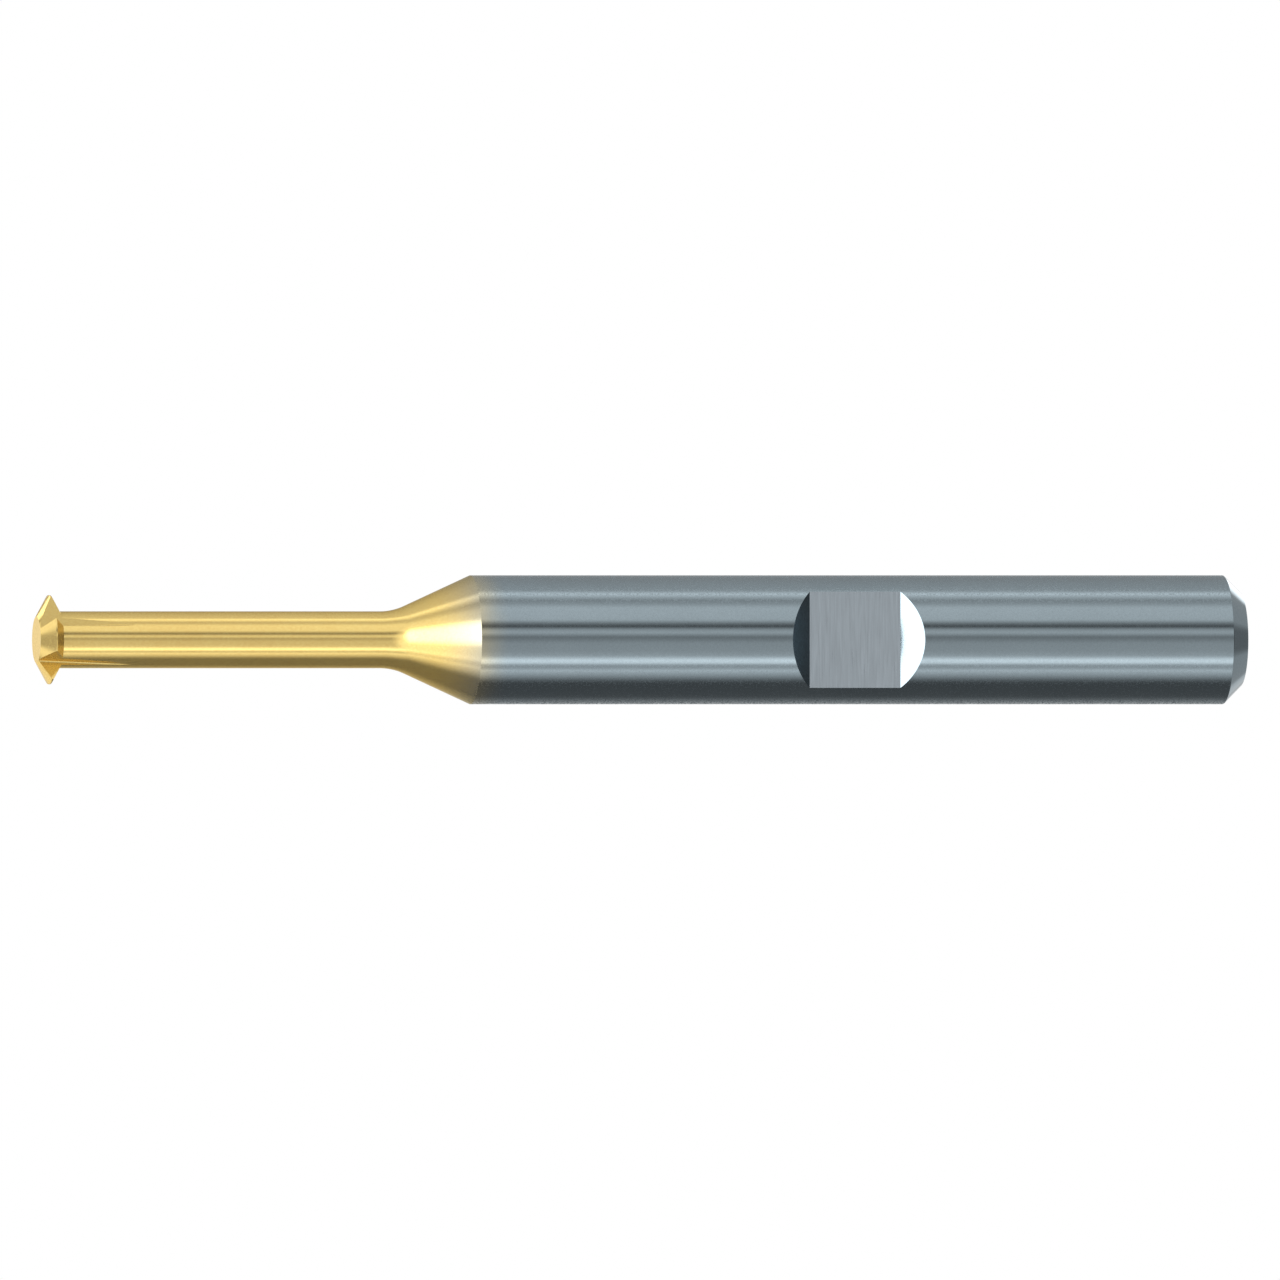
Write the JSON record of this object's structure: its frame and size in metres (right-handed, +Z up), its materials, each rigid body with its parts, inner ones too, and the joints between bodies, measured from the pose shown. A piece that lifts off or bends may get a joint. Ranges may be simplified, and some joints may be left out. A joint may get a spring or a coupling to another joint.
{
  "type": "end mill",
  "caption": "Slender coated form end mill with a 60 degree thread-form cutting ridge, reduced neck, cone and round shank with a side clamping flat.",
  "frame": {"origin": "on the tool's axis, at the middle of the shank's clamping flat", "axes": "+X along the tool's axis from the cutting end towards the shank's rear face, -Y out of the clamping flat, +Z up"},
  "size_m": [0.057, 0.006, 0.006],
  "materials": {
    "ground_carbide": "satin",
    "coated_carbide": "satin"
  },
  "bodies": {
    "root": {"shank": "ground_carbide", "transition_cone": "coated_carbide", "neck": "coated_carbide", "head_hub": "coated_carbide", "tooth_1": "coated_carbide", "tooth_2": "coated_carbide", "tooth_3": "coated_carbide", "tooth_4": "coated_carbide"}
  },
  "joints": []
}
